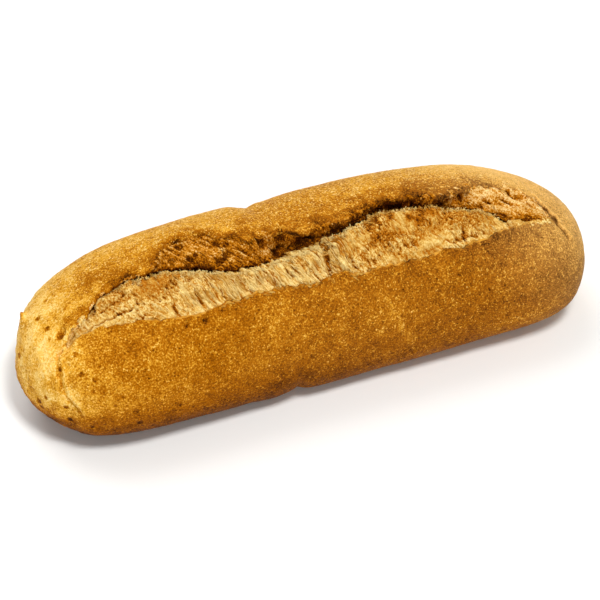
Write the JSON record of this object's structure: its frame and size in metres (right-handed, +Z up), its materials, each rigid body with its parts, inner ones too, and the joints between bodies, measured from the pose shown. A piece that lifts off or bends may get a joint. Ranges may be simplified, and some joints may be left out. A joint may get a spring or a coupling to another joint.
{
  "type": "bread roll",
  "caption": "Short brown baton roll with rounded ends and a flat base, its long slash torn open along the top to a pale fibrous crumb.",
  "frame": {"origin": "on the surface that the roll rests on, under the middle of its bounding box", "axes": "+X along the roll, +Z up from its flat underside, and the slash faces -Y"},
  "size_m": [0.18, 0.0612, 0.0486],
  "materials": {
    "crust": "baked golden brown crust with fine pale speckles, satin to matt, and pale torn crumb in the slash"
  },
  "bodies": {
    "root": {"loaf": "crust"}
  },
  "joints": []
}
